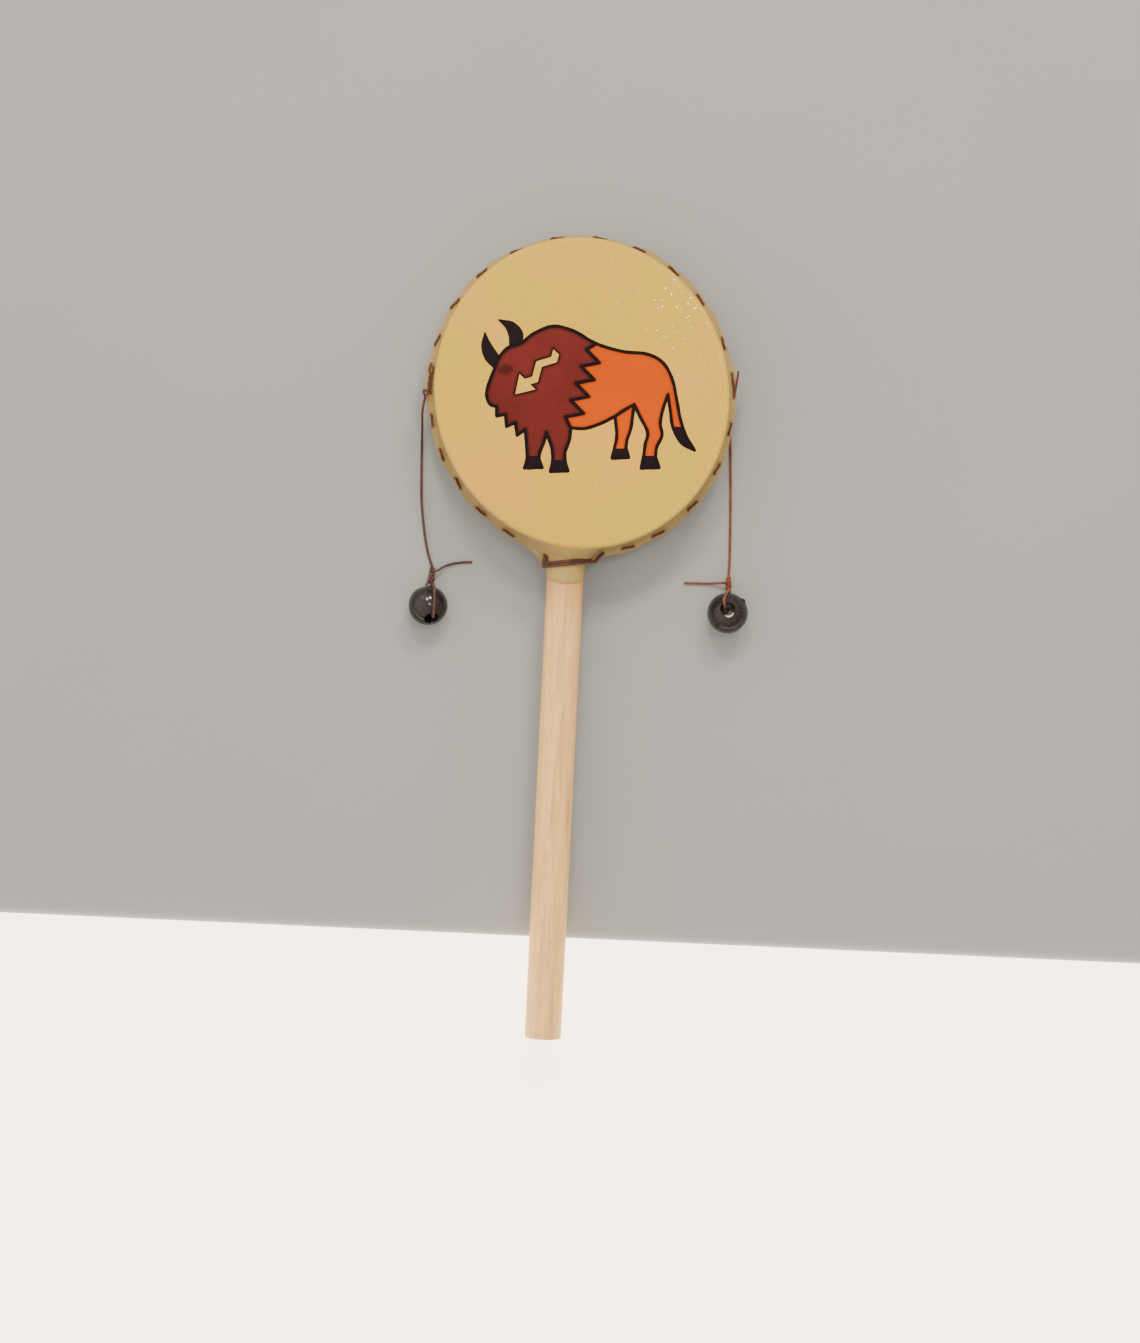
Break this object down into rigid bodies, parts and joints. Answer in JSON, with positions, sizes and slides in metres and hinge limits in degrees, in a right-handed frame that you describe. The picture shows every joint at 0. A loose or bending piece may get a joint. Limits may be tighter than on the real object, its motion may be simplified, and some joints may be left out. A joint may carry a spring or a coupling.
{
  "type": "pellet drum",
  "caption": "Small two-headed rawhide hand drum on a dowel handle, with a bead on a cord at each side that strikes the heads when the handle is twirled.",
  "frame": {"origin": "centre of the back head, on the surface that the drum lies on", "axes": "+Z out of the painted front head, handle along -Y, +X to the right of the front head"},
  "size_m": [0.1186, 0.2805, 0.025],
  "materials": {
    "hoop_wood": "bare bent wood, hidden under the skins",
    "rawhide": "smooth golden rawhide, slightly glossy, the front painted",
    "dowel_wood": "bare pale dowel, unvarnished, fine long grain",
    "cord": "thin brown twisted cord",
    "bead": "turned bead, stained black, satin"
  },
  "bodies": {
    "root": {"hoop": "hoop_wood", "front_skin": "rawhide", "back_skin": "rawhide", "handle": "dowel_wood", "seam_lacing": "cord", "neck_binding": "cord", "neck_knot": "cord", "left_rim_tie": "cord", "right_rim_tie": "cord", "left_rim_knot": "cord", "left_cord": "cord", "left_bead_knot": "cord", "left_bead_loop": "cord", "left_tag": "cord", "left_bead": "bead", "right_cord": "cord", "right_bead_knot": "cord", "right_bead_loop": "cord", "right_tag": "cord", "right_bead": "bead"}
  },
  "joints": []
}
